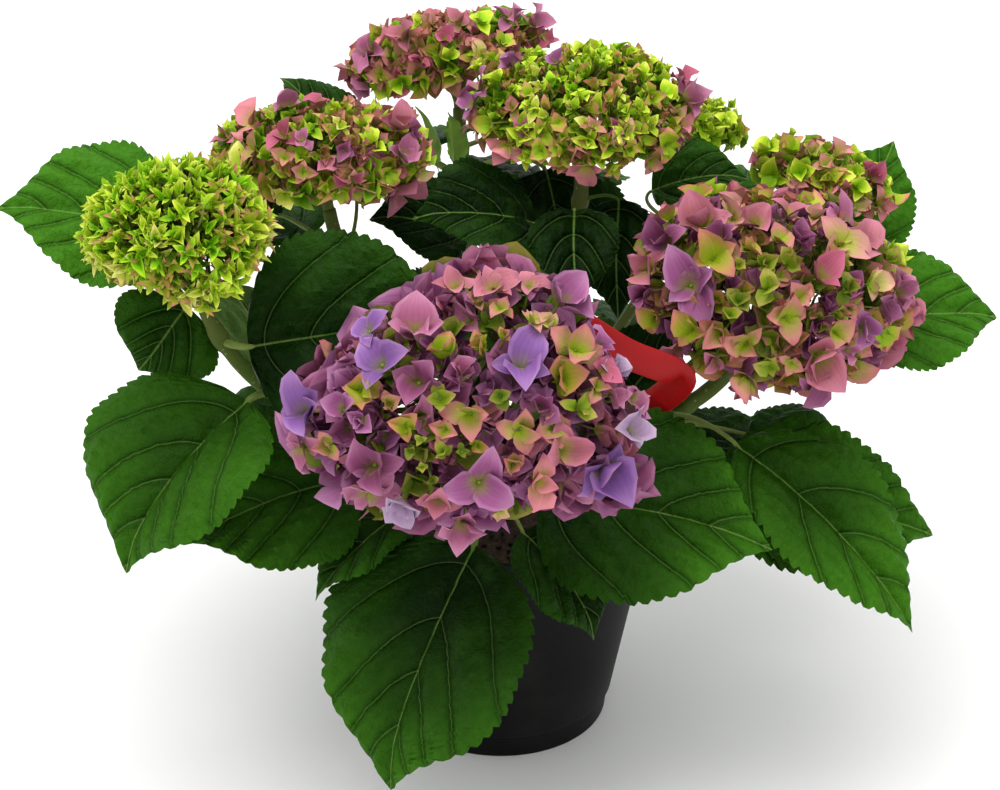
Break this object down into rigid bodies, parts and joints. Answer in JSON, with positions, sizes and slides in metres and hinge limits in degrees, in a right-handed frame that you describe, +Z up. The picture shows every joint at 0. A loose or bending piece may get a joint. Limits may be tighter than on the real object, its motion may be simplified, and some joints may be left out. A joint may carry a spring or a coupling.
{
  "type": "potted hydrangea shrub",
  "caption": "Low spreading mophead hydrangea in a round black nursery pot, with domed bloom heads on leafy shoots.",
  "frame": {"origin": "centre of the pot's flat underside, on the surface it stands on", "axes": "+Z up, +X to the right of the front view, +Y away from the front"},
  "size_m": [0.473, 0.3955, 0.3221],
  "materials": {
    "pot_plastic": "thin black moulded plastic, satin",
    "peat": "damp fibrous potting peat",
    "old_wood": "brown bark, rough",
    "green_shoot": "smooth green to reddish shoot",
    "leaf": "quilted green leaf with pale veins, slightly glossy",
    "young_leaf": "soft bright green leaf",
    "green_bloom": "lime green sepals with pink tips",
    "pink_bloom": "dusty pink sepals, lime at the heart",
    "mauve_bloom": "mauve and violet sepals, lime at the heart",
    "label_red": "plain red plastic strip"
  },
  "bodies": {
    "root": {"bloom_back_green": "green_bloom", "bloom_back_pink": "pink_bloom", "bloom_centre_green": "green_bloom", "bloom_front_mauve": "mauve_bloom", "bloom_left_green": "green_bloom", "bloom_left_pink": "pink_bloom", "bloom_right_green": "green_bloom", "bloom_right_mauve": "mauve_bloom", "label": "label_red", "leaf_back_green_upper": "leaf", "leaf_back_large": "leaf", "leaf_back_left_large": "leaf", "leaf_back_left_low": "leaf", "leaf_back_left_upper": "leaf", "leaf_back_low": "leaf", "leaf_back_pink_right": "leaf", "leaf_back_right_large": "leaf", "leaf_back_right_low": "leaf", "leaf_back_shiny": "leaf", "leaf_centre_behind": "leaf", "leaf_centre_dark": "leaf", "leaf_centre_dark_left": "leaf", "leaf_centre_low": "leaf", "leaf_centre_under_left": "leaf", "leaf_centre_under_right": "leaf", "leaf_front_large": "leaf", "leaf_front_right_large": "leaf", "leaf_front_small_left": "leaf", "leaf_front_small_right": "leaf", "leaf_left_centre": "leaf", "leaf_left_far": "leaf", "leaf_left_inner": "leaf", "leaf_left_large": "leaf", "leaf_left_low_back": "leaf", "leaf_left_lower": "leaf", "leaf_left_pink_back": "leaf", "leaf_left_under_bloom": "leaf", "leaf_right_back": "leaf", "leaf_right_behind": "leaf", "leaf_right_far": "leaf", "leaf_right_inner": "leaf", "leaf_right_large": "leaf", "leaf_right_low": "leaf", "leaf_right_side": "leaf", "leaf_right_upper": "leaf", "leaf_young_left": "young_leaf", "leaf_young_right": "young_leaf", "peat": "peat", "pot": "pot_plastic", "shoot_back_green": "green_shoot", "shoot_back_pink": "green_shoot", "shoot_centre_green": "green_shoot", "shoot_front_mauve": "green_shoot", "shoot_left_green": "green_shoot", "shoot_left_pink": "green_shoot", "shoot_right_green": "green_shoot", "shoot_right_mauve": "green_shoot", "woody_stem": "old_wood"}
  },
  "joints": []
}
